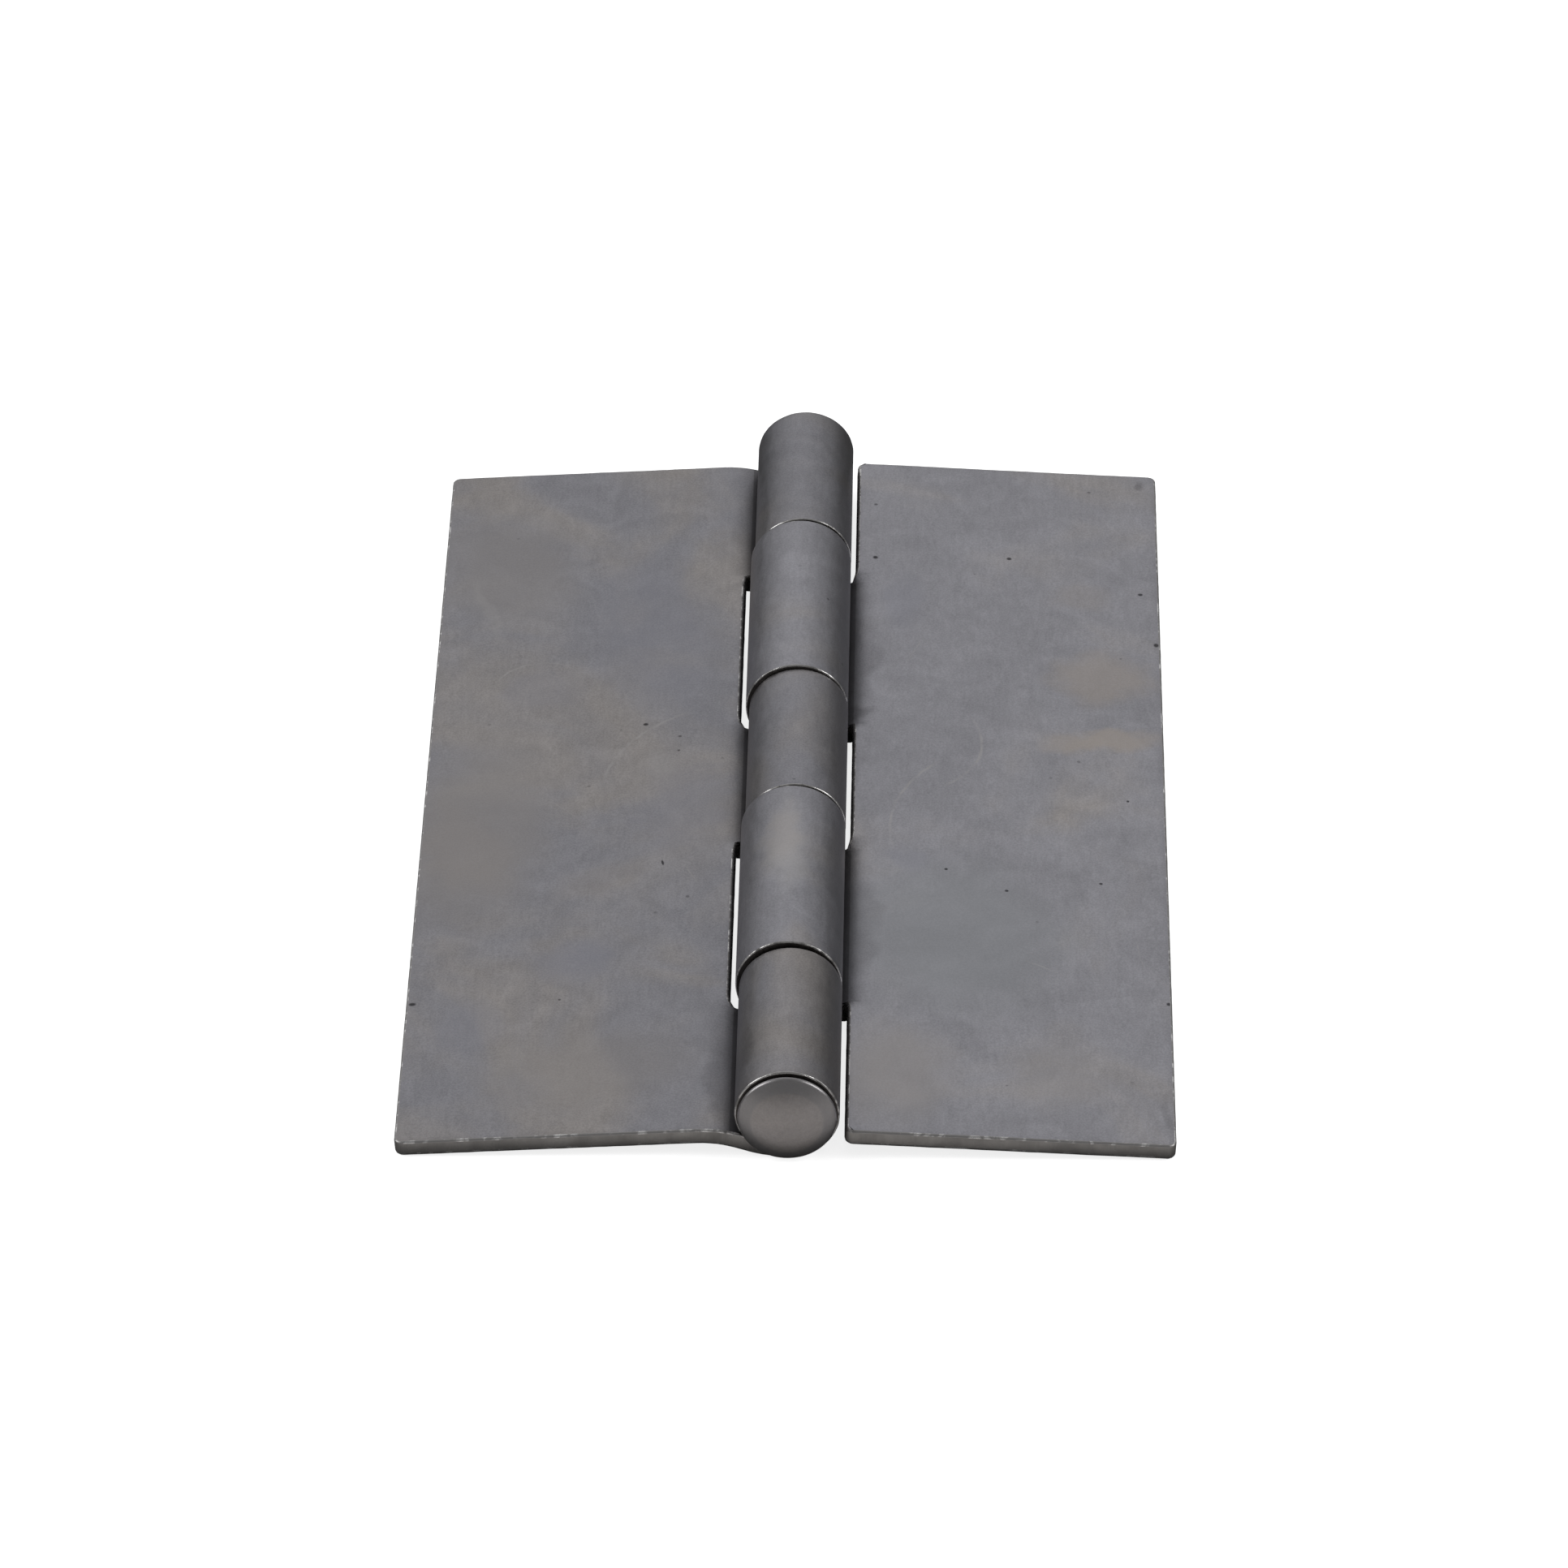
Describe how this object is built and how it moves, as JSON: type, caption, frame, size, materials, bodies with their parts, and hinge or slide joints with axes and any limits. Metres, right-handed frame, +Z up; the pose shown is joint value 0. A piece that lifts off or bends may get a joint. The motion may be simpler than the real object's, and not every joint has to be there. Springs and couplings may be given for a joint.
{
  "type": "butt hinge",
  "caption": "Plain weld-on steel butt hinge: swaged sheet leaves with interleaved rolled knuckles, turning on a headed loose pin.",
  "frame": {"origin": "on the pin's axis, halfway along the whole hinge", "axes": "+Y along the pin, away from its head; +Z up from the surface that the open hinge lies on, towards the barrel's top; the two-knuckle leaf towards +X"},
  "size_m": [0.0646, 0.1036, 0.009],
  "materials": {
    "leaf_steel": "bare cold-rolled steel sheet, satin, with faint mill stains and fine scratches",
    "pin_steel": "bare steel, satin, with a bright rubbed rim on the head"
  },
  "bodies": {
    "fixed_leaf": {"leaf_three_knuckle": "leaf_steel"},
    "swing_leaf": {"leaf_two_knuckle": "leaf_steel"},
    "pin": {"hinge_pin": "pin_steel"}
  },
  "joints": [
    {"name": "leaf_swing", "type": "hinge", "parent": "fixed_leaf", "child": "swing_leaf", "pos_m": [0, 0, 0], "axis": [0, -1, 0], "range_deg": [-96, 186.3]},
    {"name": "pin_draw", "type": "slide", "parent": "fixed_leaf", "child": "pin", "axis": [0, -1, 0], "range_m": [0, 0.104]}
  ]
}
